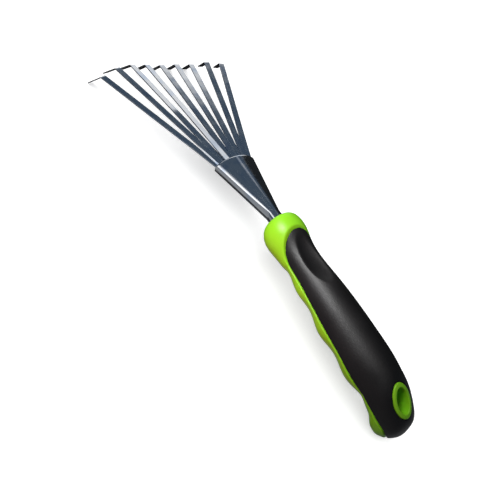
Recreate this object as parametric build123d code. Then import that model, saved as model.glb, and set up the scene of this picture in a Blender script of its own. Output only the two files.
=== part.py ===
from build123d import *

import math
import os

# A one-hand fan rake: nine flat spring-steel tines, a pressed sheet-steel socket, and a
# hard plastic handle core with a soft grip moulded over it.
#
# Millimetres. +X runs from the butt of the handle to the tines, +Y is left, +Z is up.
# The rake lies on Z = 0, on its hook tips and the heel of its handle, with the middle of
# its length over the origin. It is drawn with the socket's mouth at x = 0 and moved there
# at the end. The metalwork is drawn flat, with the tines along z = 0, and then tipped.

# Tines
TINE_COUNT = 9
TINE_WIDTH = 5.0
TINE_THICKNESS = 1.0
FAN_HALF_ANGLE = 18.85  # degrees from the middle tine to an outer one
FAN_APEX = -39.8  # x of the point that all the tines radiate from
FAN_RADIUS = 176.9  # from the apex to the bends
HOOK_LENGTH = 23.5
HOOK_ANGLE = 40.0  # degrees below the blade
BEND_RADIUS = 2.5
# Degrees by which each blade, from tine_1 to tine_9, has sprung up from flat in use
BLADE_SETS = (-0.5, 1.0, 1.5, -0.1, -0.5, -1.0, -0.5, 0.5, 1.0)
SET_START = 62.0  # from the apex, past where neighbouring tines lie on each other
SET_RADIUS = 300.0
ROOT_RADIUS = 24.0  # from the apex to the ends of the roots
ROOT_WIDTH = 3.3
TAPER_END = 46.0  # from the apex to where the full width begins

# Socket: an arched hood over the roots that closes into a tube, which runs on as a tang
SHEET = 1.0
MOUTH_HALF_WIDTH = 17.3
MOUTH_CROWN = 7.7
MOUTH_CORNER = 1.0
MOUTH_HEM = -4.2
HOOD_LENGTH = 56.0
TUBE_RADIUS = 5.6
SOCKET_LENGTH = 86.0
OPENING_STRAIGHT = 28.0  # from the mouth, along the parallel-sided stretch below
OPENING_LENGTH = 47.0
LIP = 0.3  # how far the hem turns in under the side walls

# Plate under the roots
PLATE_THICKNESS = 1.2
PLATE_FRONT = -1.0
PLATE_BACK = -18.0

# Pose of the metalwork
FAN_HEIGHT = 23.8
FAN_PITCH = 2.5  # degrees, nose down

LEVEL = 0.30  # degrees that the whole rake tips forward, to lie on its tips and its heel

# Handle: x, height of the middle and radius of the few sections that shape it
HANDLE_SECTIONS = (
    (-62.5, 26.5, 8.0),
    (-64.5, 26.5, 12.0),
    (-70.0, 25.5, 15.0),
    (-76.0, 25.0, 15.5),
    (-86.0, 24.0, 14.0),
    (-97.0, 23.5, 13.0),
    (-118.0, 23.5, 14.0),
    (-139.0, 22.5, 15.5),
    (-160.0, 21.5, 16.0),
    (-181.0, 20.5, 15.5),
    (-195.0, 18.0, 14.0),
    (-206.5, 12.0, 13.0),
    (-213.5, 9.5, 9.5),
    (-216.5, 8.0, 3.5),
)
LOFT_SECTIONS = 40  # spread evenly along a smooth line through those
SECTION_POINTS = 16
END_START = -200.0  # behind this the grip covers the end as well as the sides
END_LENGTH = 17.0
SQUARE_START = -184.0  # behind this the sections grow squarer, to seat the hole's rim
SQUARE_LENGTH = 14.0
SQUARE_POWER = 2.35
WAVE_DEPTH = 0.9  # half the difference between a finger ridge and a hollow
WAVE_LENGTH = 30.5
WAVE_RIDGE = -112.5  # x of the first ridge
WAVE_START = -90.0
WAVE_STOP = -194.0
WAVE_FADE = 8.0
HEEL_DEPTH = 1.6  # how far the heel stands out below the butt
HEEL_START = -197.0
HEEL_STOP = -214.5
HEEL_FADE = 7.0
SWELL_TOP = 80.0  # degrees from the top of a section, where the waves and the heel begin
SWELL_FULL = 122.0

# Grip
GRIP_THICKNESS = 2.4
SEAM = (
    (-77.0, 41.5),
    (-81.4, 36.9),
    (-87.3, 31.2),
    (-94.0, 27.1),
    (-106.0, 25.8),
    (-126.0, 25.2),
    (-148.0, 23.6),
    (-170.0, 21.0),
    (-186.0, 17.9),
    (-197.0, 15.6),
    (-205.0, 13.9),
    (-210.5, 11.1),
    (-214.0, 5.0),
    (-216.0, -8.0),
)
THUMB_X = -103.0
THUMB_TOP = 37.1
THUMB_DEPTH = 3.8
THUMB_RADII = (23.3, 14.8, 12.0)

# Hanging hole
HOLE_CENTRE = (-201.6, 28.9)  # x and z, on the top of the butt
HOLE_TILT = 32.0  # degrees that its top leans back
HOLE_SIZE = (16.2, 9.0)  # long and short axis of the oval
RIM_SIZE = (22.0, 13.4)
RIM_DEPTH = 8.0

STOCK = 60.0  # longer than any cut needs to be


def blade_outline():
    """Plan of a straightened tine: a narrowed root, then full width to past the hook."""
    half_root = ROOT_WIDTH / 2
    half_blade = TINE_WIDTH / 2
    end = FAN_RADIUS + HOOK_LENGTH
    return make_face(
        Polyline(
            (ROOT_RADIUS, -half_root),
            (TAPER_END, -half_blade),
            (end, -half_blade),
            (end, half_blade),
            (TAPER_END, half_blade),
            (ROOT_RADIUS, half_root),
            close=True,
        )
    )


def tine(index):
    """A strip bent down at its tip. Odd and even tines lie in two layers."""
    rise = math.radians(BLADE_SETS[index])
    hook = math.radians(HOOK_ANGLE - BLADE_SETS[index])
    bend = Vector(FAN_RADIUS, 0, (FAN_RADIUS - SET_START) * math.tan(rise))
    path = FilletPolyline(
        (ROOT_RADIUS, 0, 0),
        (SET_START, 0, 0),
        bend,
        bend + Vector(math.cos(hook), 0, -math.sin(hook)) * HOOK_LENGTH,
        radius=(SET_RADIUS, BEND_RADIUS),
    )
    start = Plane(origin=(ROOT_RADIUS, 0, 0), x_dir=(0, 1, 0), z_dir=(1, 0, 0))
    strip = sweep(start * Rectangle(TINE_WIDTH, TINE_THICKNESS), path=path)
    strip &= extrude(blade_outline(), STOCK, both=True)
    turn = FAN_HALF_ANGLE * (1 - 2 * index / (TINE_COUNT - 1))
    layer = -TINE_THICKNESS * ((index + 1) % 2)
    return Pos(FAN_APEX, 0, layer) * Rot(0, 0, turn) * strip


def cross_plane(x, z=0.0):
    """A plane across the tool, with its own x to the left and its own y up."""
    return Plane(origin=(x, 0, z), x_dir=(0, 1, 0), z_dir=(1, 0, 0))


def mouth_section(inset):
    """Arched top, two side walls and a flat hem, all moved in by the inset."""
    half = MOUTH_HALF_WIDTH - inset
    crown = MOUTH_CROWN - inset
    corner = MOUTH_CORNER - inset / 2
    hem = MOUTH_HEM + inset
    edges = [
        Line((half, hem), (half, corner)),
        ThreePointArc((half, corner), (0, crown), (-half, corner)),
        Line((-half, corner), (-half, hem)),
        Line((-half, hem), (half, hem)),
    ]
    return cross_plane(0) * make_face(edges)


def tube_section(x, inset):
    """A circle in four arcs, which match the four edges of the mouth's section."""
    radius = TUBE_RADIUS - inset
    edges = [
        CenterArc((0, 0), radius, start, sweep_angle)
        for start, sweep_angle in ((-45, 75), (30, 120), (150, 75), (225, 90))
    ]
    return cross_plane(x) * make_face(edges)


def hood_solid(inset):
    """The hood and the tube filled in, moved in all round by the inset."""
    hood = loft([tube_section(-HOOD_LENGTH, inset), mouth_section(inset)], ruled=True)
    tube = extrude(tube_section(-HOOD_LENGTH, inset), HOOD_LENGTH - SOCKET_LENGTH)
    return hood + tube


def hood_half_width(x, inset):
    """Half width of the hood at a distance x from the mouth."""
    share = -x / HOOD_LENGTH
    return MOUTH_HALF_WIDTH + (TUBE_RADIUS - MOUTH_HALF_WIDTH) * share - inset


def underside_opening():
    """Stock that opens the hood underneath, back to a rounded end where the sheet closes."""
    inset = SHEET + LIP
    front = 1.0
    wide = hood_half_width(front, inset)
    narrow = hood_half_width(-OPENING_STRAIGHT, inset)
    left = Line((front, wide), (-OPENING_STRAIGHT, narrow))
    end = Spline(
        (-OPENING_STRAIGHT, narrow),
        (-OPENING_LENGTH, 0),
        (-OPENING_STRAIGHT, -narrow),
        tangents=(left % 1, Vector(-(left % 1).X, (left % 1).Y)),
    )
    right = Line((-OPENING_STRAIGHT, -narrow), (front, -wide))
    outline = make_face([left, end, right, Line((front, -wide), (front, wide))])
    top = MOUTH_HEM + 2 * SHEET
    return extrude(Pos(0, 0, top) * outline, -STOCK)


def tine_socket():
    """The hood and its tube, bent from one sheet and open at both ends and below."""
    bore = Cylinder(TUBE_RADIUS - SHEET, 2 * SHEET)
    shell = hood_solid(0) - hood_solid(SHEET) - Pos(-SOCKET_LENGTH, 0, 0) * Rot(0, 90, 0) * bore
    return shell - underside_opening()


def tine_backing_plate():
    """A plate that spans the hood under the roots and carries them."""
    top = -1.5 * TINE_THICKNESS
    length = PLATE_FRONT - PLATE_BACK
    blank = Box(length, 2 * MOUTH_HALF_WIDTH, PLATE_THICKNESS)
    middle = (PLATE_FRONT + PLATE_BACK) / 2
    return Pos(middle, 0, top - PLATE_THICKNESS / 2) * blank & hood_solid(SHEET)


def fade(value):
    """0 below 0, 1 above 1, and a smooth step between."""
    share = min(max(value, 0.0), 1.0)
    return share * share * (3 - 2 * share)


def wave(x):
    """How far the finger waves stand out from the underside at x."""
    inside = fade((WAVE_START - x) / WAVE_FADE) * fade((x - WAVE_STOP) / WAVE_FADE)
    return WAVE_DEPTH * inside * math.cos(2 * math.pi * (x - WAVE_RIDGE) / WAVE_LENGTH)


def heel(x):
    """How far the heel stands out from the underside at x."""
    return HEEL_DEPTH * fade((HEEL_START - x) / HEEL_FADE) * fade((x - HEEL_STOP) / HEEL_FADE)


def rounded(value, power):
    """A sine or cosine bent for a superellipse. A power of 2 leaves it as it is."""
    return math.copysign(abs(value) ** (2 / power), value)


def handle_section(place, inset):
    """A near-circular section, with the waves and the heel only on its lower part."""
    x, middle, radius = place
    end_share = fade((END_START - x) / END_LENGTH)
    power = 2 + (SQUARE_POWER - 2) * fade((SQUARE_START - x) / SQUARE_LENGTH)
    points = []
    for step in range(SECTION_POINTS):
        angle = 360 * step / SECTION_POINTS
        from_top = min(angle, 360 - angle)
        share = fade((from_top - SWELL_TOP) / (SWELL_FULL - SWELL_TOP))
        swell = (wave(x) + heel(x)) * share
        across = (radius - inset + swell) * rounded(math.sin(math.radians(angle)), power)
        up = (radius - inset + swell) * rounded(math.cos(math.radians(angle)), power)
        points.append((across, up))
    plane = cross_plane(x + inset * end_share, middle)
    return plane * make_face(Spline(*points, periodic=True))


def handle_solid(inset):
    line = Spline(*HANDLE_SECTIONS)
    places = [line @ (step / (LOFT_SECTIONS - 1)) for step in range(LOFT_SECTIONS)]
    return loft([handle_section(place, inset) for place in places])


def thumb_hollow(clearance):
    """An ellipsoid that scoops the top of the handle, larger by the clearance."""
    length, width, height = (radius + clearance for radius in THUMB_RADII)
    scoop = scale(Sphere(1), by=(length, width, height))
    return Pos(THUMB_X, 0, THUMB_TOP - THUMB_DEPTH + THUMB_RADII[2]) * scoop


def grip_region():
    """Everything above the seam and behind the grip's front edge."""
    seam = Spline(*SEAM)
    front_x, front_z = SEAM[0]
    back_x, back_z = SEAM[-1]
    rest = Polyline(
        (back_x, back_z),
        (back_x - STOCK, back_z),
        (back_x - STOCK, front_z + STOCK),
        (front_x, front_z + STOCK),
        (front_x, front_z),
    )
    return extrude(Plane.XZ * make_face([seam, rest]), STOCK, both=True)


def oval_bar(size):
    """An oval bar along the hanging hole."""
    x, z = HOLE_CENTRE
    oval = Ellipse(size[0] / 2, size[1] / 2)
    return Pos(x, 0, z) * Rot(0, -HOLE_TILT, 0) * extrude(oval, STOCK, both=True)


def make_grip():
    shell = handle_solid(0) - (handle_solid(GRIP_THICKNESS) - thumb_hollow(GRIP_THICKNESS))
    shell &= grip_region()
    return shell - thumb_hollow(0) - oval_bar(RIM_SIZE)


def make_core(grip):
    tang = Pos(-SOCKET_LENGTH / 2, 0, 0) * Rot(0, 90, 0) * Cylinder(TUBE_RADIUS, SOCKET_LENGTH)
    body = handle_solid(0) - grip - thumb_hollow(0)
    return body + hole_rim() - oval_bar(HOLE_SIZE) - lay(tang)


def hole_rim():
    """The core's collar round the hanging hole, from its flat top down into the core."""
    oval = Ellipse(RIM_SIZE[0] / 2, RIM_SIZE[1] / 2)
    x, z = HOLE_CENTRE
    return Pos(x, 0, z) * Rot(0, -HOLE_TILT, 0) * extrude(oval, -RIM_DEPTH)


def lay(part):
    """Tips the metalwork into its place on the finished tool."""
    return Pos(0, 0, FAN_HEIGHT) * Rot(0, FAN_PITCH, 0) * part


def make_pieces():
    pieces = {f"tine_{i + 1}": lay(tine(i)) for i in range(TINE_COUNT)}
    pieces["tine_socket"] = lay(tine_socket())
    pieces["tine_backing_plate"] = lay(tine_backing_plate())
    pieces["grip"] = make_grip()
    pieces["handle_core"] = make_core(pieces["grip"])
    return pieces


def main():
    pieces = {name: Rot(0, LEVEL, 0) * piece for name, piece in make_pieces().items()}
    box = Compound(children=[Compound(p.solids()) for p in pieces.values()]).bounding_box()
    home = Pos(-box.center().X, 0, -box.min.Z)
    os.makedirs("parts", exist_ok=True)
    for name, piece in pieces.items():
        export_step(home * piece, f"parts/{name}.step")


main()
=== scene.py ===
import math

import bmesh
import bpy
import numpy as np
from mathutils import Matrix, Vector


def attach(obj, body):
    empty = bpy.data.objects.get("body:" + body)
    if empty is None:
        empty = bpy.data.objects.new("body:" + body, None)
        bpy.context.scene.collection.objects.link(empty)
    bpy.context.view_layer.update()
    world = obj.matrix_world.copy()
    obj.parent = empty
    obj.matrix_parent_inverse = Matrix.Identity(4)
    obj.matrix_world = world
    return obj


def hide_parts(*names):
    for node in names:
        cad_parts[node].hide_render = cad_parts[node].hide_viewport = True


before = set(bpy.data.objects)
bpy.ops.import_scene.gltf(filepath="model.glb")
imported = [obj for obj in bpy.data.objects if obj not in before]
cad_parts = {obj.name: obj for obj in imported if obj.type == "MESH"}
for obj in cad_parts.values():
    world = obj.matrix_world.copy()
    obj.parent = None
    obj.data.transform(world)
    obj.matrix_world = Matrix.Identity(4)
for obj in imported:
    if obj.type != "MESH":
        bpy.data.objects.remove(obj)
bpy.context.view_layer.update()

MM = 0.001

# ---------------------------------------------------------------- the part's own dimensions, mm
# The metalwork is drawn flat with the socket's mouth at x = 0, pitched, and set in the frame.
HOME = Vector((31.037, 0.0, 1.658))
LEVEL = 0.30
FAN_HEIGHT = 23.8
FAN_PITCH = 2.5
TINE_COUNT = 9
TINE_WIDTH = 5.0
TINE_THICKNESS = 1.0
FAN_HALF_ANGLE = 18.85
FAN_APEX = -39.8
FAN_RADIUS = 176.9
HOOK_LENGTH = 23.5
HOOK_ANGLE = 40.0
BEND_RADIUS = 2.5
BLADE_SETS = (-0.5, 1.0, 1.5, -0.1, -0.5, -1.0, -0.5, 0.5, 1.0)
SET_START = 62.0
SET_RADIUS = 300.0
ROOT_RADIUS = 24.0
ROOT_WIDTH = 3.3
TAPER_END = 46.0
SHEET = 1.0
MOUTH_HALF_WIDTH = 17.3
MOUTH_CROWN = 7.7
MOUTH_CORNER = 1.0
MOUTH_HEM = -4.2
HOOD_LENGTH = 56.0
TUBE_RADIUS = 5.6
SOCKET_LENGTH = 86.0
OPENING_STRAIGHT = 28.0
OPENING_LENGTH = 47.0
LIP = 0.3
# Handle: x, height of the middle and radius of the few sections that shape it
HANDLE_SECTIONS = (
    (-62.5, 26.5, 8.0),
    (-64.5, 26.5, 12.0),
    (-70.0, 25.5, 15.0),
    (-76.0, 25.0, 15.5),
    (-86.0, 24.0, 14.0),
    (-97.0, 23.5, 13.0),
    (-118.0, 23.5, 14.0),
    (-139.0, 22.5, 15.5),
    (-160.0, 21.5, 16.0),
    (-181.0, 20.5, 15.5),
    (-195.0, 18.0, 14.0),
    (-206.5, 12.0, 13.0),
    (-213.5, 9.5, 9.5),
    (-216.5, 8.0, 3.5),
)
SQUARE_START = -184.0
SQUARE_LENGTH = 14.0
SQUARE_POWER = 2.35
WAVE_DEPTH = 0.9
WAVE_LENGTH = 30.5
WAVE_RIDGE = -112.5
WAVE_START = -90.0
WAVE_STOP = -194.0
WAVE_FADE = 8.0
HEEL_DEPTH = 1.6
HEEL_START = -197.0
HEEL_STOP = -214.5
HEEL_FADE = 7.0
SWELL_TOP = 80.0
SWELL_FULL = 122.0
GRIP_THICKNESS = 2.4
# Seam between the grip and the core, x and z in the side view
SEAM = (
    (-77.0, 41.5),
    (-81.4, 36.9),
    (-87.3, 31.2),
    (-94.0, 27.1),
    (-106.0, 25.8),
    (-126.0, 25.2),
    (-148.0, 23.6),
    (-170.0, 21.0),
    (-186.0, 17.9),
    (-197.0, 15.6),
    (-205.0, 13.9),
    (-210.5, 11.1),
    (-214.0, 5.0),
    (-216.0, -8.0),
)
THUMB_X = -103.0
THUMB_TOP = 37.1
THUMB_DEPTH = 3.8
THUMB_RADII = (23.3, 14.8, 12.0)
HOLE_CENTRE = (-201.6, 28.9)
HOLE_TILT = 32.0
HOLE_SIZE = (16.2, 9.0)
RIM_SIZE = (22.0, 13.4)
RIM_DEPTH = 8.0


def lay():
    """The metalwork's own frame, in millimetres, to the row frame in metres."""
    level = Matrix.Rotation(math.radians(LEVEL), 4, "Y")
    pitch = Matrix.Rotation(math.radians(FAN_PITCH), 4, "Y")
    lift = Matrix.Translation((0, 0, FAN_HEIGHT))
    return Matrix.Scale(MM, 4) @ Matrix.Translation(HOME) @ level @ lift @ pitch


# ---------------------------------------------------------------- mesh helpers
def finish_piece(obj, nodes, material):
    """Puts a piece in the place of its CAD nodes, with its material."""
    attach(obj, "root")
    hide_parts(*nodes)
    obj.data.materials.clear()
    obj.data.materials.append(material)
    return obj


def mesh_object(name, vertices, faces, uvs=None):
    """A smooth-shaded object, with a UV for each vertex if they are given."""
    mesh = bpy.data.meshes.new(name)
    mesh.from_pydata([tuple(v) for v in vertices], [], faces)
    mesh.validate()
    if uvs is not None:
        layer = mesh.uv_layers.new(name="along")
        for loop in mesh.loops:
            layer.data[loop.index].uv = uvs[loop.vertex_index]
    obj = bpy.data.objects.new(name, mesh)
    bpy.context.scene.collection.objects.link(obj)
    for polygon in mesh.polygons:
        polygon.use_smooth = True
    return obj


# ---------------------------------------------------------------- node helpers
class Nodes:
    """Short calls for building a node tree."""

    def __init__(self, tree):
        self.tree = tree
        tree.nodes.clear()

    def new(self, kind, inputs=(), **settings):
        node = self.tree.nodes.new(kind)
        for key, value in settings.items():
            setattr(node, key, value)
        for key, value in dict(inputs).items():
            self.put(node.inputs[key], value)
        return node

    def put(self, socket, value):
        if isinstance(value, bpy.types.NodeSocket):
            self.tree.links.new(value, socket)
        else:
            socket.default_value = value

    def math(self, operation, a, b=0.0, clamp=False):
        node = self.new("ShaderNodeMath", {0: a, 1: b}, operation=operation, use_clamp=clamp)
        return node.outputs[0]

    def ramp(self, value, low, high, to_low=0.0, to_high=1.0, smooth=True):
        kind = "SMOOTHSTEP" if smooth else "LINEAR"
        inputs = {"Value": value, "From Min": low, "From Max": high, "To Min": to_low, "To Max": to_high}
        return self.new("ShaderNodeMapRange", inputs, interpolation_type=kind).outputs["Result"]

    def mix(self, factor, a, b):
        node = self.new("ShaderNodeMix", data_type="RGBA")
        for index, value in ((0, factor), (6, a), (7, b)):
            self.put(node.inputs[index], value)
        return node.outputs[2]

    def noise(self, vector, scale, detail=2.0, roughness=0.5):
        inputs = {"Vector": vector, "Scale": scale, "Detail": detail, "Roughness": roughness}
        return self.new("ShaderNodeTexNoise", inputs).outputs["Fac"]

    def stretch(self, vector, scale):
        return self.new("ShaderNodeMapping", {"Vector": vector, "Scale": scale}).outputs["Vector"]

    def bump(self, height, distance, strength=1.0, normal=None):
        inputs = {"Height": height, "Distance": distance, "Strength": strength}
        if normal is not None:
            inputs["Normal"] = normal
        return self.new("ShaderNodeBump", inputs).outputs["Normal"]


def principled(name, **fixed):
    """A material, its nodes and its shader, with the sockets that are the same all over already set."""
    material = bpy.data.materials.new(name)
    material.use_nodes = True
    nodes = Nodes(material.node_tree)
    shader = nodes.new("ShaderNodeBsdfPrincipled")
    out = nodes.new("ShaderNodeOutputMaterial")
    nodes.tree.links.new(shader.outputs[0], out.inputs["Surface"])
    for key, value in fixed.items():
        shader.inputs[key.replace("_", " ")].default_value = value
    return material, nodes, shader


def steel(name, tint, rough_low, rough_high, grain, waviness, use_uv):
    """Bright rolled steel: fine lines along the rolling direction, and faint handling haze."""
    material, nodes, shader = principled(name, Metallic=1.0)
    coords = nodes.new("ShaderNodeTexCoord")
    base = coords.outputs["UV"] if use_uv else coords.outputs["Object"]
    lines = nodes.noise(nodes.stretch(base, (22.0, 2600.0, 2600.0)), 1.0, 3.0, 0.6)
    haze = nodes.noise(coords.outputs["Object"], 60.0, 4.0, 0.6)
    patches = nodes.noise(coords.outputs["Object"], 85.0, 3.0, 0.55)
    waves = nodes.noise(coords.outputs["Object"], 110.0, 1.0, 0.4)
    specks = nodes.noise(coords.outputs["Object"], 900.0, 2.0, 0.5)
    worn = nodes.ramp(haze, 0.35, 0.75)
    rough = nodes.ramp(worn, 0, 1, rough_low, rough_high)
    rough = nodes.math("ADD", nodes.ramp(lines, 0.3, 0.7, 0.0, 0.05), rough)
    nodes.put(shader.inputs["Roughness"], rough)
    dark = tuple(c * 0.86 for c in tint) + (1.0,)
    light = tuple(tint) + (1.0,)
    shade = nodes.mix(nodes.ramp(lines, 0.32, 0.66), dark, light)
    cool = tuple(c * k for c, k in zip(tint, (0.66, 0.74, 0.86))) + (1.0,)
    shade = nodes.mix(nodes.ramp(patches, 0.42, 0.68, 0.0, 0.8), shade, cool)
    spot = nodes.ramp(specks, 0.70, 0.78)
    shade = nodes.mix(nodes.math("MULTIPLY", spot, 0.35), shade, (0.30, 0.31, 0.33, 1))
    nodes.put(shader.inputs["Base Color"], shade)
    wavy = nodes.bump(waves, waviness)
    nodes.put(shader.inputs["Normal"], nodes.bump(lines, grain, normal=wavy))
    return material


def lime_plastic():
    """Hard glossy plastic with a faint clouding and a fine grain."""
    material, nodes, shader = principled("core_plastic", IOR=1.48, Specular_IOR_Level=0.36)
    coords = nodes.new("ShaderNodeTexCoord").outputs["Object"]
    cloud = nodes.noise(coords, 45.0, 3.0, 0.5)
    grain = nodes.noise(coords, 2200.0, 2.0, 0.5)
    color = nodes.mix(nodes.ramp(cloud, 0.3, 0.7), (0.262, 0.71, 0.017, 1), (0.295, 0.77, 0.022, 1))
    nodes.put(shader.inputs["Base Color"], color)
    nodes.put(shader.inputs["Roughness"], nodes.ramp(cloud, 0.3, 0.7, 0.30, 0.38))
    nodes.put(shader.inputs["Normal"], nodes.bump(grain, 0.00003, 0.35))
    return material


def black_rubber():
    """Soft matt moulding with a stippled surface."""
    material, nodes, shader = principled("grip_rubber", IOR=1.5, Specular_IOR_Level=0.20)
    coords = nodes.new("ShaderNodeTexCoord").outputs["Object"]
    cloud = nodes.noise(coords, 30.0, 4.0, 0.55)
    fine = nodes.noise(coords, 1500.0, 3.0, 0.6)
    coarse = nodes.noise(coords, 700.0, 2.0, 0.5)
    color = nodes.mix(nodes.ramp(cloud, 0.3, 0.7), (0.0034, 0.0032, 0.0033, 1), (0.0054, 0.0051, 0.0052, 1))
    nodes.put(shader.inputs["Base Color"], color)
    nodes.put(shader.inputs["Roughness"], nodes.ramp(cloud, 0.3, 0.7, 0.40, 0.46))
    stipple = nodes.math("ADD", fine, nodes.math("MULTIPLY", coarse, 0.6))
    nodes.put(shader.inputs["Normal"], nodes.bump(stipple, 0.00010, 0.8))
    return material


TINE_STEEL = steel("tine_steel", (0.80, 0.82, 0.85), 0.07, 0.13, 0.000004, 0.00004, True)
SOCKET_STEEL = steel("socket_steel", (0.80, 0.82, 0.85), 0.10, 0.17, 0.000003, 0.00003, True)
PLATE_STEEL = steel("plate_steel", (0.50, 0.51, 0.53), 0.30, 0.42, 0.00001, 0.00003, False)
CORE_PLASTIC = lime_plastic()
GRIP_RUBBER = black_rubber()


# ---------------------------------------------------------------- tines
EDGE_ROUND = 0.2
ARC_STEP = 4.0  # most degrees from one point of a bend to the next
RUN_STEP = 3.0  # straight runs are cut into stretches no shorter than this
GRAIN_SHIFT = 0.0137  # metres between the grain of one tine and the next, so that no two match
# Twist of each blade about its own length, in degrees at the tip, and how it comes in.
BLADE_TWISTS = (-4.0, 0.0, 8.0, 8.5, 0.0, 0.0, 0.0, -4.0, -1.5)
TWIST_START = (60, 60, 95, 22, 60, 60, 60, 60, 60)
TWIST_END = (120, 120, 122, 44, 120, 120, 120, 120, 120)


def turned(pair, angle):
    """A pair of coordinates turned about the origin."""
    cosine, sine = math.cos(angle), math.sin(angle)
    return pair[0] * cosine - pair[1] * sine, pair[0] * sine + pair[1] * cosine


def arc_path(corners, radii, step):
    """Points along straight runs joined by arcs, in the xz plane. The step is in degrees."""
    points = [np.array(corners[0], float)]
    for before, corner, after, radius in zip(corners, corners[1:], corners[2:], radii):
        before, corner, after = (np.array(p, float) for p in (before, corner, after))
        into = (corner - before) / np.linalg.norm(corner - before)
        out = (after - corner) / np.linalg.norm(after - corner)
        cross = into[0] * out[1] - into[1] * out[0]
        turn = math.atan2(cross, float(into @ out))
        reach = radius * math.tan(abs(turn) / 2)
        side = np.array([-into[1], into[0]]) * math.copysign(1, turn)
        centre = corner - into * reach + side * radius
        count = max(3, int(math.ceil(math.degrees(abs(turn)) / step)))
        for i in range(count + 1):
            points.append(centre + radius * np.array(turned(-side, turn * i / count)))
    points.append(np.array(corners[-1], float))
    return points


def fade(value):
    """0 below 0, 1 above 1, and a smooth step between."""
    share = min(max(value, 0.0), 1.0)
    return share * share * (3 - 2 * share)


def rounded_bar(half_width, half_height, radius, segments=3):
    """Outline of the strip's section, a flat bar with its edges broken, and its normals."""
    ring = []
    for cx, cy, start in ((1, 1, 0), (-1, 1, 90), (-1, -1, 180), (1, -1, 270)):
        for i in range(segments + 1):
            a = math.radians(start + 90 * i / segments)
            ring.append((
                cx * (half_width - radius) + radius * math.cos(a),
                cy * (half_height - radius) + radius * math.sin(a),
                math.cos(a),
                math.sin(a),
            ))
    return ring


def build_tine(index):
    """One strip, swept along its side view, with its section turned where the strip is twisted."""
    rise = math.radians(BLADE_SETS[index])
    hook = math.radians(HOOK_ANGLE - BLADE_SETS[index])
    bend = (FAN_RADIUS, (FAN_RADIUS - SET_START) * math.tan(rise))
    tip = (bend[0] + math.cos(hook) * HOOK_LENGTH, bend[1] - math.sin(hook) * HOOK_LENGTH)
    corners = [(ROOT_RADIUS, 0.0), (SET_START, 0.0), bend, tip]
    coarse = arc_path(corners, (SET_RADIUS, BEND_RADIUS), ARC_STEP)
    path = [coarse[0]]
    for a, b in zip(coarse, coarse[1:]):
        parts = max(1, int(np.linalg.norm(b - a) // RUN_STEP))
        path += [a + (b - a) * (i + 1) / parts for i in range(parts)]
    path = np.array(path)
    # the last ring is drawn in a little, so the cut end has a broken edge
    ahead = (path[-1] - path[-2]) / np.linalg.norm(path[-1] - path[-2])
    path = np.vstack([path[:-1], path[-1] - ahead * EDGE_ROUND, path[-1]])
    tangents = np.gradient(path, axis=0)
    tangents /= np.linalg.norm(tangents, axis=1)[:, None]
    lengths = np.concatenate([[0], np.cumsum(np.linalg.norm(np.diff(path, axis=0), axis=1))])
    turn = FAN_HALF_ANGLE * (1 - 2 * index / (TINE_COUNT - 1))
    layer = -TINE_THICKNESS * ((index + 1) % 2)
    place = lay() @ Matrix.Translation((FAN_APEX, 0, layer)) @ Matrix.Rotation(math.radians(turn), 4, "Z")
    vertices, normals, uvs, faces = [], [], [], []
    last = len(path) - 1
    for row, (point, tangent, length) in enumerate(zip(path, tangents, lengths)):
        share = min(max((point[0] - ROOT_RADIUS) / (TAPER_END - ROOT_RADIUS), 0), 1)
        half_width = (ROOT_WIDTH + (TINE_WIDTH - ROOT_WIDTH) * share) / 2
        half_height = TINE_THICKNESS / 2
        drawn_in = EDGE_ROUND if row in (0, last) else 0.0
        ring = rounded_bar(half_width - drawn_in, half_height - drawn_in, EDGE_ROUND - drawn_in * 0.9)
        twist = fade((point[0] - TWIST_START[index]) / (TWIST_END[index] - TWIST_START[index]))
        roll = math.radians(BLADE_TWISTS[index] * twist)
        up = np.array([-tangent[1], tangent[0]])
        for across, rising, *facing in ring:
            (side, lift), (facing_side, facing_up) = turned((across, rising), roll), turned(facing, roll)
            local = Vector((point[0] + up[0] * lift, side, point[1] + up[1] * lift))
            vertices.append(place @ local)
            normal = Vector((up[0] * facing_up, facing_side, up[1] * facing_up))
            normals.append((place.to_3x3() @ normal).normalized())
            uvs.append((length * MM, (across + rising) * MM + index * GRAIN_SHIFT))
    size = len(ring)
    for row in range(last):
        for column in range(size):
            a = row * size + column
            b = row * size + (column + 1) % size
            faces.append((a, b, b + size, a + size))
    faces.append(tuple(reversed(range(size))))
    faces.append(tuple(range(last * size, (last + 1) * size)))
    obj = mesh_object(f"blade_{index + 1}", vertices, faces, uvs)
    shade_strip(obj, normals)
    return finish_piece(obj, [f"tine_{index + 1}"], TINE_STEEL)


def shade_strip(obj, normals):
    """The strip's true normals on its long faces, and flat ends."""
    mesh = obj.data
    loops = [(0.0, 0.0, 0.0)] * len(mesh.loops)
    for polygon in mesh.polygons:
        flat = len(polygon.vertices) > 4
        for loop in polygon.loop_indices:
            loops[loop] = polygon.normal if flat else normals[mesh.loops[loop].vertex_index]
    mesh.normals_split_custom_set([tuple(normal) for normal in loops])


# ---------------------------------------------------------------- socket
def smooth_line(points, sigma):
    """A polyline resampled evenly and rounded at its corners, and each point's share of its length."""
    points = np.array(points, float)
    lengths = np.concatenate([[0], np.cumsum(np.linalg.norm(np.diff(points, axis=0), axis=1))])
    count = 400
    even = np.linspace(0, lengths[-1], count)
    line = np.stack([np.interp(even, lengths, points[:, i]) for i in range(2)], axis=1)
    step = even[1]
    reach = int(math.ceil(3 * sigma / step))
    kernel = np.exp(-0.5 * (np.arange(-reach, reach + 1) * step / sigma) ** 2)
    kernel /= kernel.sum()
    padded = np.vstack([2 * line[0] - line[reach:0:-1], line, 2 * line[-1] - line[-2:-reach - 2:-1]])
    smooth = np.stack([np.convolve(padded[:, i], kernel, "valid") for i in range(2)], axis=1)
    return smooth, even / lengths[-1]


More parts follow.
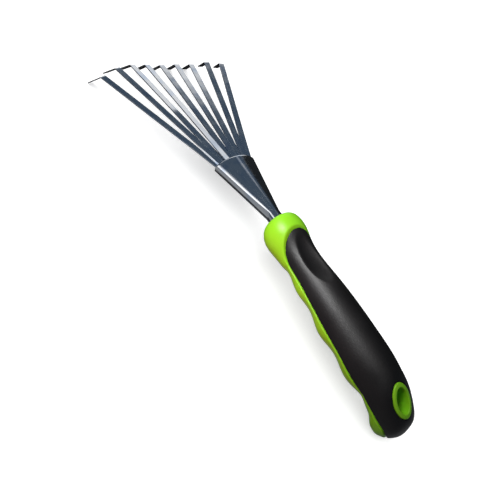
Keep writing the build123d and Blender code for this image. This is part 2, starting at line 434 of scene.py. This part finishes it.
def half_mouth():
    """Right half of the mouth's outline, from the middle of the hem up to the crown."""
    rise = MOUTH_CROWN - MOUTH_CORNER
    radius = (MOUTH_HALF_WIDTH ** 2 + rise ** 2) / (2 * rise)
    centre = MOUTH_CROWN - radius
    reach = math.asin(MOUTH_HALF_WIDTH / radius)
    arch = [(radius * math.sin(a), centre + radius * math.cos(a)) for a in np.linspace(reach, 0, 60)]
    outline = [(0.0, MOUTH_HEM), (MOUTH_HALF_WIDTH, MOUTH_HEM)] + arch
    return outline


def opening_half_width(x):
    """Half width of the gap under the hood, at x behind the mouth. 0 where it has closed."""
    narrowing = (TUBE_RADIUS - MOUTH_HALF_WIDTH) / HOOD_LENGTH
    if -x <= OPENING_STRAIGHT:
        return MOUTH_HALF_WIDTH + narrowing * -x - SHEET - LIP
    if -x >= OPENING_LENGTH:
        return 0.0
    run = (-x - OPENING_STRAIGHT) / (OPENING_LENGTH - OPENING_STRAIGHT)
    start = MOUTH_HALF_WIDTH + narrowing * OPENING_STRAIGHT - SHEET - LIP
    return start * (1 - run ** 2) ** OPENING_CURVE * (1 - OPENING_TAPER * run)


HOOD_ROWS = 150
TUBE_ROWS = 12
MOUTH_ROWS = 9  # more rows where the mouth's lip turns down
OPENING_ROWS = 14  # and where the opening closes
OPENING_END = 3.0  # the length that those last ones are spread over
SOCKET_COLUMNS = 72  # on each side
SOCKET_GRAIN = 0.06  # metres of grain round the socket
HEM_REACH = 1.02  # the hem is followed this much past its corner
MOUTH_LIP = 1.1  # the length at the mouth that the press has turned down a little
MOUTH_DIP = 0.24
MOUTH_ROUND = 0.75  # how far the corners of the mouth's outline are smoothed
OPENING_CURVE = 0.62  # power of the opening's closing end, where 0.5 is an ellipse
OPENING_TAPER = 0.10
SOCKET_EDGE = 0.22  # width of the broken edges of the sheet


def build_socket():
    """The hood and the tube as one sheet, blended from the mouth's outline to a circle, then thickened."""
    outline, shares = smooth_line(half_mouth(), MOUTH_ROUND)
    outline[0] = (0.0, MOUTH_HEM)
    outline[-1] = (0.0, outline[-1][1])
    mouth = np.array(half_mouth())
    lengths = np.concatenate([[0], np.cumsum(np.linalg.norm(np.diff(mouth, axis=0), axis=1))])
    hem_share = lengths[1] / lengths[-1]
    wall_share = lengths[2] / lengths[-1]
    angles = np.interp(shares, [0, hem_share, wall_share, 1], [-90, -45, 30, 90])
    circle = TUBE_RADIUS * np.stack([np.cos(np.radians(angles)), np.sin(np.radians(angles))], axis=1)
    stations = list(-HOOD_LENGTH * np.linspace(0, 1, HOOD_ROWS))
    stations += list(np.linspace(-HOOD_LENGTH - 2, -SOCKET_LENGTH, TUBE_ROWS))
    stations += list(-np.linspace(0, MOUTH_LIP, MOUTH_ROWS))
    stations += list(-OPENING_LENGTH + OPENING_END * np.linspace(0, 1, OPENING_ROWS) ** 2)
    stations = sorted(set(stations), reverse=True)
    place = lay()
    vertices, uvs, faces = [], [], []
    width = 2 * SOCKET_COLUMNS + 1
    for x in stations:
        blend = min(-x / HOOD_LENGTH, 1.0)
        section = outline * (1 - blend) + circle * blend
        gap = opening_half_width(x)
        hem = shares <= hem_share * HEM_REACH
        start = float(np.interp(gap, section[hem, 0], shares[hem])) if gap > 0 else 0.0
        spread = start + (1 - start) * np.linspace(0, 1, SOCKET_COLUMNS + 1)
        half = np.stack([np.interp(spread, shares, section[:, i]) for i in range(2)], axis=1)
        ring = [(y, z) for y, z in half] + [(-y, z) for y, z in half[::-1][1:]]
        for column, (y, z) in enumerate(ring):
            dip = MOUTH_DIP * fade(1 + x / MOUTH_LIP) if z > 0 else 0.0
            vertices.append(place @ Vector((x, y, z - dip)))
            uvs.append((x * MM, column / width * SOCKET_GRAIN))
    for row in range(len(stations) - 1):
        for column in range(width - 1):
            a = row * width + column
            faces.append((a, a + 1, a + 1 + width, a + width))
    obj = mesh_object("socket_shell", vertices, faces, uvs)
    work = bmesh.new()
    work.from_mesh(obj.data)
    bmesh.ops.remove_doubles(work, verts=work.verts, dist=2e-6)
    bmesh.ops.recalc_face_normals(work, faces=work.faces)
    top = max(work.faces, key=lambda face: face.calc_center_median().z)
    if top.normal.z < 0:
        bmesh.ops.reverse_faces(work, faces=work.faces)
    work.to_mesh(obj.data)
    work.free()
    solid = obj.modifiers.new("thickness", "SOLIDIFY")
    solid.thickness = SHEET * MM
    solid.offset = -1.0
    solid.use_even_offset = True
    edge = obj.modifiers.new("edge", "BEVEL")
    edge.width = SOCKET_EDGE * MM
    edge.segments = 3
    edge.limit_method = "ANGLE"
    edge.angle_limit = math.radians(60)
    edge.harden_normals = True
    return finish_piece(obj, ["tine_socket"], SOCKET_STEEL)


# ---------------------------------------------------------------- handle
# Both mouldings are drawn as distance fields in the handle's own frame, in millimetres, so
# that every edge gets the small radius of a moulded part, and are then meshed evenly.
CELL = 0.7
REACH = 0.04  # the step that slopes are measured over
GRIP_EDGE = 0.6  # radius of the grip's edge along the seam
CORE_EDGE = 0.45
HOLLOW_EDGE = 0.8  # radius of the thumb hollow's edge
RIM_EDGE = 0.55
RIM_STAND = 0.4  # how far the rim may stand out of the grip
RIM_GAP = 0.2
GROOVE = 1.0  # width of the line moulded between the grip and the core
FRONT_EDGE = 0.8
GAP_EDGE = 0.5  # radius of the grip's edge round the rim
LEAST_SLOPE = 4.0  # keeps distances finite at the axis, where the level has no slope
PROFILE_POINTS = 3000
END_POINTS = 40  # how many of them give the slope at the end
END_REACH = 6.0  # how far the profile goes on past its last section
SEAM_POINTS = 260
SEAM_STOCK = 60.0  # how far the region above the seam reaches past it
SEAM_CELL = 0.4
SEAM_LOW = (-224.0, -16.0)
SEAM_HIGH = (-56.0, 52.0)
HANDLE_LOW = (-218.0, -17.0, -7.0)
HANDLE_HIGH = (-61.5, 17.0, 43.0)


def smooth_step(value):
    """0 below 0, 1 above 1, and a smooth step between, for arrays."""
    share = np.clip(value, 0.0, 1.0)
    return share * share * (3 - 2 * share)


def cubic(knots, values, at):
    """A natural cubic spline through the knots, read at some places."""
    count = len(knots)
    gaps = np.diff(knots)
    slopes = np.diff(values) / gaps
    system = np.eye(count)
    right = np.zeros(count)
    for i in range(1, count - 1):
        system[i, i - 1:i + 2] = gaps[i - 1], 2 * (gaps[i - 1] + gaps[i]), gaps[i]
        right[i] = 6 * (slopes[i] - slopes[i - 1])
    bend = np.linalg.solve(system, right)
    i = np.clip(np.searchsorted(knots, at) - 1, 0, count - 2)
    gap, past, left = gaps[i], at - knots[i], knots[i + 1] - at
    curve = (bend[i] * left ** 3 + bend[i + 1] * past ** 3) / (6 * gap)
    from_left = (values[i] / gap - bend[i] * gap / 6) * left
    return curve + from_left + (values[i + 1] / gap - bend[i + 1] * gap / 6) * past


def along_curve(points, count):
    """Evenly many points on a spline through the given ones."""
    points = np.array(points, float)
    knots = np.concatenate([[0], np.cumsum(np.linalg.norm(np.diff(points[:, :2], axis=0), axis=1))])
    at = np.linspace(0, knots[-1], count)
    return np.stack([cubic(knots, points[:, i], at) for i in range(points.shape[1])], axis=1)


def round_max(a, b, radius):
    """What two fields share, with their meeting edge rounded."""
    corner = np.hypot(np.maximum(a + radius, 0), np.maximum(b + radius, 0))
    return np.minimum(np.maximum(a, b), -radius) + corner


class Profile:
    """Radius squared and middle of the handle's sections, along x."""

    def __init__(self):
        rows = [(x, radius, middle) for x, middle, radius in HANDLE_SECTIONS]
        curve = along_curve(rows, PROFILE_POINTS)[::-1]
        self.x = curve[:, 0]
        self.square = curve[:, 1] ** 2
        self.middle = curve[:, 2]
        # past the last section the end goes on closing
        slope = (self.square[END_POINTS] - self.square[0]) / (self.x[END_POINTS] - self.x[0])
        self.x = np.concatenate([[self.x[0] - END_REACH], self.x])
        self.square = np.concatenate([[self.square[0] - slope * END_REACH], self.square])
        self.middle = np.concatenate([[self.middle[0]], self.middle])

    def level(self, points):
        """Negative inside the handle's outer shape. Not yet a distance."""
        x, y, z = points.T
        square = np.interp(x, self.x, self.square)
        up = z - np.interp(x, self.x, self.middle)
        power = 2 + (SQUARE_POWER - 2) * smooth_step((SQUARE_START - x) / SQUARE_LENGTH)
        a, b = np.abs(y) ** power, np.abs(up) ** power
        angle = np.degrees(np.arctan2(np.sqrt(a), np.copysign(np.sqrt(b), up)))
        share = smooth_step((angle - SWELL_TOP) / (SWELL_FULL - SWELL_TOP))
        waves = smooth_step((WAVE_START - x) / WAVE_FADE) * smooth_step((x - WAVE_STOP) / WAVE_FADE)
        waves = WAVE_DEPTH * waves * np.cos(2 * np.pi * (x - WAVE_RIDGE) / WAVE_LENGTH)
        heel = smooth_step((HEEL_START - x) / HEEL_FADE) * smooth_step((x - HEEL_STOP) / HEEL_FADE)
        swell = (waves + HEEL_DEPTH * heel) * share
        return (a + b) ** (2 / power) - square - swell * (2 * np.sqrt(np.maximum(square, 0)) + swell)

    def distance(self, points):
        """Close to the true distance near the surface."""
        level = self.level(points)
        slope = slopes_of(self.level, points, level)
        return level / np.maximum(np.linalg.norm(slope, axis=1), LEAST_SLOPE)


def slopes_of(field, points, level):
    """How fast a field grows along x, y and z."""
    steps = np.eye(3) * REACH
    return np.stack([(field(points + step) - level) / REACH for step in steps], axis=1)


class Seam:
    """Signed distance in the side view from the seam, negative where the grip is."""

    def __init__(self):
        line = along_curve(SEAM, SEAM_POINTS)
        left, top = line[-1][0] - SEAM_STOCK, line[0][1] + SEAM_STOCK
        rest = [(left, line[-1][1]), (left, top), (line[0][0], top)]
        loop = np.vstack([line, rest])
        self.x = np.arange(SEAM_LOW[0], SEAM_HIGH[0], SEAM_CELL)
        self.z = np.arange(SEAM_LOW[1], SEAM_HIGH[1], SEAM_CELL)
        self.table = np.stack([self.column(x, loop) for x in self.x])

    def column(self, x, loop):
        """One column of the table: distances from a closed outline, at x."""
        start, end = loop, np.roll(loop, -1, axis=0)
        run = end - start
        place = np.stack([np.full(len(self.z), x), self.z], axis=1)[:, None, :]
        share = np.clip(((place - start) * run).sum(2) / (run * run).sum(1), 0, 1)
        away = np.linalg.norm(place - start - run * share[..., None], axis=2).min(1)
        low, high = place[..., 1] >= start[:, 1], place[..., 1] >= end[:, 1]
        with np.errstate(divide="ignore", invalid="ignore"):
            crossing = start[:, 0] + (place[..., 1] - start[:, 1]) * run[:, 0] / run[:, 1]
        inside = ((low != high) & (x < crossing)).sum(1) % 2 == 1
        return np.where(inside, -away, away)

    def distance(self, points):
        u = np.clip((points[:, 0] - self.x[0]) / SEAM_CELL, 0, len(self.x) - 1.001)
        v = np.clip((points[:, 2] - self.z[0]) / SEAM_CELL, 0, len(self.z) - 1.001)
        i, j = u.astype(int), v.astype(int)
        u, v = u - i, v - j
        near = self.table[i, j] * (1 - v) + self.table[i, j + 1] * v
        far = self.table[i + 1, j] * (1 - v) + self.table[i + 1, j + 1] * v
        return near * (1 - u) + far * u


def ellipse_distance(k, radii):
    """Close to the true distance from an ellipse or an ellipsoid at the origin."""
    near = np.linalg.norm(k / radii, axis=1)
    return near * (near - 1) / np.maximum(np.linalg.norm(k / np.square(radii), axis=1), 1e-6)


def thumb_distance(points):
    middle = (THUMB_X, 0, THUMB_TOP - THUMB_DEPTH + THUMB_RADII[2])
    return ellipse_distance(points - middle, np.array(THUMB_RADII))


def hole_axes(points):
    """Along the oval's length, across it and up out of the hole."""
    tilt = math.radians(HOLE_TILT)
    x, z = points[:, 0] - HOLE_CENTRE[0], points[:, 2] - HOLE_CENTRE[1]
    return x * math.cos(tilt) + z * math.sin(tilt), points[:, 1], z * math.cos(tilt) - x * math.sin(tilt)


def oval_distance(points, size):
    along, across, _ = hole_axes(points)
    return ellipse_distance(np.stack([along, across], axis=1), np.array(size) / 2)


def tang_distance(points):
    """Distance from the tang's bore in the core."""
    pitch = math.radians(FAN_PITCH)
    x, z = points[:, 0], points[:, 2] - FAN_HEIGHT
    along = x * math.cos(pitch) - z * math.sin(pitch)
    up = x * math.sin(pitch) + z * math.cos(pitch)
    return np.maximum(np.hypot(points[:, 1], up) - TUBE_RADIUS, -SOCKET_LENGTH - along)


def handle_distance(points):
    return round_max(PROFILE.distance(points), points[:, 0] - HANDLE_SECTIONS[0][0], FRONT_EDGE)


def under_grip(outer, hollow):
    """The core's surface where the grip covers it."""
    return np.maximum(outer + GRIP_THICKNESS, GRIP_THICKNESS - hollow)


def grip_field(points):
    outer, hollow = handle_distance(points), thumb_distance(points)
    shell = np.maximum(round_max(outer, -hollow, HOLLOW_EDGE), -under_grip(outer, hollow))
    shell = round_max(shell, SEAM_LINE.distance(points), GRIP_EDGE)
    return round_max(shell, RIM_GAP - oval_distance(points, RIM_SIZE), GAP_EDGE)


def core_field(points):
    outer, hollow = handle_distance(points), thumb_distance(points)
    skin = round_max(outer, GROOVE - SEAM_LINE.distance(points), CORE_EDGE)
    body = np.minimum(skin, under_grip(outer, hollow))
    rise = hole_axes(points)[2]
    rim = round_max(oval_distance(points, RIM_SIZE), np.maximum(rise, outer - RIM_STAND), RIM_EDGE)
    body = np.minimum(body, np.maximum(rim, -RIM_DEPTH - rise))
    body = round_max(body, -oval_distance(points, HOLE_SIZE), RIM_EDGE)
    return np.maximum(body, -tang_distance(points))


def surface_net(field, low, high):
    """A mesh of quads on the zero level of a field, over a box."""
    axes = [np.arange(a - 2 * CELL, b + 2 * CELL, CELL) for a, b in zip(low, high)]
    grid = np.stack(np.meshgrid(*axes, indexing="ij"), axis=-1)
    level = field(grid.reshape(-1, 3)).reshape(grid.shape[:3])
    inside = level < 0
    cells = np.zeros(np.array(inside.shape) - 1, int)
    corners = [np.array(c) for c in np.ndindex(2, 2, 2)]
    for c in corners:
        cells += inside[tuple(slice(o, n + o) for o, n in zip(c, cells.shape))]
    active = (cells > 0) & (cells < 8)
    places = np.argwhere(active)
    number = np.full(active.shape, -1)
    number[active] = np.arange(len(places))
    total, count = np.zeros((len(places), 3)), np.zeros(len(places))
    for c in corners:
        for axis in range(3):
            if c[axis]:
                continue
            d = c + np.eye(3, dtype=int)[axis]
            a, b = level[tuple((places + c).T)], level[tuple((places + d).T)]
            cut = (a < 0) != (b < 0)
            share = np.where(cut, a / np.where(cut, a - b, 1), 0)
            total += np.where(cut[:, None], c + share[:, None] * (d - c), 0)
            count += cut
    vertices = grid[0, 0, 0] + (places + total / count[:, None]) * CELL
    quads = []
    for axis in range(3):
        one, two = (axis + 1) % 3, (axis + 2) % 3
        step = np.eye(3, dtype=int)
        ahead = np.roll(inside, -1, axis)
        where = np.argwhere(inside != ahead)
        where = where[where[:, axis] < inside.shape[axis] - 1]
        ring = [where - step[one] - step[two], where - step[two], where, where - step[one]]
        quad = np.stack([number[tuple(r.T)] for r in ring], axis=1)
        flip = ~inside[tuple(where.T)]
        quad[flip] = quad[flip][:, ::-1]
        quads.append(quad)
    return vertices, np.vstack(quads)


def settle(field, vertices, rounds=4):
    """Moves vertices onto the zero level, and gives their normals."""
    for _ in range(rounds):
        level = field(vertices)
        slope = slopes_of(field, vertices, level)
        square = np.maximum((slope ** 2).sum(1), 0.25)
        move = np.clip(level / square, -0.4 * CELL, 0.4 * CELL)
        vertices = vertices - slope * move[:, None]
    slope = slopes_of(field, vertices, field(vertices))
    return vertices, slope / np.maximum(np.linalg.norm(slope, axis=1), 1e-9)[:, None]


def moulding(node, name, material, field):
    """A piece of the handle, meshed from its field and set in the frame."""
    vertices, quads = surface_net(field, HANDLE_LOW, HANDLE_HIGH)
    vertices, normals = settle(field, vertices)
    level = Matrix.Rotation(math.radians(LEVEL), 4, "Y")
    place = Matrix.Scale(MM, 4) @ Matrix.Translation(HOME) @ level
    turn = np.array(place.to_3x3().normalized())
    vertices = vertices @ np.array(place.to_3x3()).T + np.array(place.translation)
    obj = mesh_object(name, vertices, quads.tolist())
    normals = normals @ turn.T
    obj.data.normals_split_custom_set_from_vertices(normals.tolist())
    return finish_piece(obj, [node], material)


PROFILE = Profile()
SEAM_LINE = Seam()

for tine_index in range(TINE_COUNT):
    build_tine(tine_index)
build_socket()
grip_skin = moulding("grip", "grip_skin", GRIP_RUBBER, grip_field)
core_body = moulding("handle_core", "core_body", CORE_PLASTIC, core_field)
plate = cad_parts["tine_backing_plate"]
plate.data.materials.clear()
plate.data.materials.append(PLATE_STEEL)


# ---------------------------------------------------------------- floor
FLOOR_GLOW = 0.5  # lit from under, as a light table is, so that the shadow stays soft
FLOOR_HALF = 3.0


def build_floor():
    """A pale floor that neither lights the rake nor shows in its reflections."""
    mesh = bpy.data.meshes.new("floor")
    corners = [(x * FLOOR_HALF, y * FLOOR_HALF, 0) for x, y in ((-1, -1), (1, -1), (1, 1), (-1, 1))]
    mesh.from_pydata(corners, [], [(0, 1, 2, 3)])
    floor = bpy.data.objects.new("floor", mesh)
    bpy.context.scene.collection.objects.link(floor)
    material, nodes, shader = principled(
        "floor", Roughness=0.9, Emission_Color=(1, 1, 1, 1), Emission_Strength=FLOOR_GLOW
    )
    coords = nodes.new("ShaderNodeTexCoord").outputs["Object"]
    cloud = nodes.noise(coords, 3.0, 2.0)
    nodes.put(shader.inputs["Base Color"], nodes.mix(cloud, (0.86, 0.86, 0.86, 1), (0.88, 0.88, 0.88, 1)))
    mesh.materials.append(material)
    floor.visible_glossy = False
    floor.visible_diffuse = False
    return floor


floor = build_floor()


# ---------------------------------------------------------------- light
def area_light(
    name, target, azimuth, elevation, distance, size, power, spread=180.0, color=(1, 1, 1), glossy=True
):
    """A square soft light that faces a target, from a bearing and a height in degrees."""
    data = bpy.data.lights.new(name, "AREA")
    data.shape = "SQUARE"
    data.size = size
    data.energy = power
    data.color = color
    light = bpy.data.objects.new(name, data)
    bpy.context.scene.collection.objects.link(light)
    a, e = math.radians(azimuth), math.radians(elevation)
    direction = Vector((math.cos(a) * math.cos(e), math.sin(a) * math.cos(e), math.sin(e)))
    light.location = Vector(target) + direction * distance
    data.spread = math.radians(spread)
    light.rotation_euler = direction.to_track_quat("Z", "Y").to_euler()
    light.visible_glossy = glossy
    return light


def light_only(light, *objects):
    """Lets a light reach these objects and nothing else."""
    reached = bpy.data.collections.new(light.name + "_reach")
    for obj in objects:
        reached.objects.link(obj)
    light.light_linking.receiver_collection = reached


COLLAR = (-0.045, 0.0, 0.027)
PALM = (-0.110, 0.0, 0.027)
PINK = (1.0, 0.30, 0.36)
# Name, piece, power and spread of the lights that pick out the collar
KEYS = (("core_key", core_body, 0.134, 50.0), ("grip_key", grip_skin, 0.53, 70.0))

for index in range(3):
    wash = area_light(f"wash_{index + 1}", (0, 0, 0), 20 + 120 * index, 62, 1.4, 1.6, 9.0, glossy=False)
    light_only(wash, floor)
for name, piece, power, spread in KEYS:
    light_only(area_light(name, COLLAR, 57, 55, 0.32, 0.16, power, spread=spread), piece)
light_only(area_light("sheen", PALM, 80, 72, 0.60, 0.24, 0.24, spread=110.0), grip_skin)
warm = area_light("warm", COLLAR, 115, 8, 0.17, 0.12, 0.05, spread=90.0, color=PINK, glossy=False)
light_only(warm, grip_skin, core_body)


SKY = 0.17  # strength of the even light from above
BOUNCE = 0.035  # and from below
WARM = (1.0, 0.72, 0.84, 1)  # the tint of what comes back from below
ROOM = (0.062, 0.088, 0.122, 1)  # what is reflected between the panels
BACKDROP = (0.86, 0.86, 0.86, 1)  # what the camera sees past the floor
# Bearings and heights of each panel, its soft border in degrees, and its colour
PANELS = (
    ((-180, 180), (-90, -4), 6.0, (0.30, 0.31, 0.32)),
    ((-48, 12), (-6, 26.5), 3.0, (0.85, 0.86, 0.87)),
    ((-100, 58), (-60, -8), 5.0, (0.012, 0.013, 0.014)),
    ((30, 110), (-80, -46), 6.0, (0.030, 0.032, 0.034)),
    ((-100, -52), (-60, 30), 7.0, (0.016, 0.018, 0.020)),
    ((-44, -38), (41.5, 45), 3.0, (0.42, 0.44, 0.47)),
    ((62, 70), (36, 41), 6.0, (1.9, 1.9, 1.9)),
    ((52, 59), (30, 42), 5.0, (1.4, 1.4, 1.4)),
    ((70, 150), (-12, 26), 8.0, (0.28, 0.29, 0.31)),
    ((-180, 180), (72, 90), 4.0, (1.1, 1.1, 1.1)),
)


def build_world():
    """A studio: soft even fill, a dim blue-grey room with panels for reflections, and a pale backdrop."""
    world = bpy.data.worlds.new("studio")
    bpy.context.scene.world = world
    world.use_nodes = True
    nodes = Nodes(world.node_tree)
    direction = nodes.new("ShaderNodeTexCoord").outputs["Generated"]
    split = nodes.new("ShaderNodeSeparateXYZ", {0: direction})
    azimuth = nodes.math("MULTIPLY", nodes.math("ARCTAN2", split.outputs[1], split.outputs[0]), 180 / math.pi)
    elevation = nodes.math("MULTIPLY", nodes.math("ARCSINE", split.outputs[2]), 180 / math.pi)

    def panel(az, el, soft):
        """1 inside a range of bearings and heights, fading over soft degrees outside it."""
        share = 1.0
        for value, (low, high) in ((azimuth, az), (elevation, el)):
            middle, half = (low + high) / 2, (high - low) / 2
            away = nodes.math("ABSOLUTE", nodes.math("SUBTRACT", value, middle))
            inside = nodes.ramp(away, half, half + soft, 1.0, 0.0)
            share = inside if share == 1.0 else nodes.math("MULTIPLY", share, inside)
        return share

    color = ROOM
    for az, el, soft, shade in PANELS:
        color = nodes.mix(panel(az, el, soft), color, shade + (1,))
    ray = nodes.new("ShaderNodeLightPath")
    level = nodes.ramp(elevation, 0.0, 60.0, BOUNCE, SKY)
    tint = nodes.mix(nodes.ramp(elevation, -20.0, 4.0), WARM, (1, 1, 1, 1))
    fill = nodes.new("ShaderNodeBackground", {"Color": tint, "Strength": level})
    room = nodes.new("ShaderNodeBackground", {"Color": color, "Strength": 1.0})
    glossy = ray.outputs["Is Glossy Ray"]
    both = nodes.new("ShaderNodeMixShader", {0: glossy, 1: fill.outputs[0], 2: room.outputs[0]})
    backdrop = nodes.new("ShaderNodeBackground", {"Color": BACKDROP, "Strength": 1.0})
    camera = ray.outputs["Is Camera Ray"]
    seen = nodes.new("ShaderNodeMixShader", {0: camera, 1: both.outputs[0], 2: backdrop.outputs[0]})
    nodes.new("ShaderNodeOutputWorld", {"Surface": seen.outputs[0]})


build_world()


# ---------------------------------------------------------------- camera
CAMERA_AT = (-0.15402, 0.16375, 0.24575)
CAMERA_RIGHT = (-0.48808, -0.83257, 0.26191)
CAMERA_UP = (0.77965, -0.28102, 0.55961)
CAMERA_LENS = 30.24


def build_camera():
    """The camera, from where it stands and which way its right and up point."""
    data = bpy.data.cameras.new("camera")
    data.lens = CAMERA_LENS
    data.sensor_width = 36.0
    data.clip_start = 0.01
    camera = bpy.data.objects.new("camera", data)
    bpy.context.scene.collection.objects.link(camera)
    right = Vector(CAMERA_RIGHT).normalized()
    up = Vector(CAMERA_UP).normalized()
    back = right.cross(up)
    turn = Matrix((right, up, back)).transposed().to_4x4()
    camera.matrix_world = Matrix.Translation(CAMERA_AT) @ turn
    bpy.context.scene.camera = camera


build_camera()
bpy.context.scene.view_settings.view_transform = "Standard"
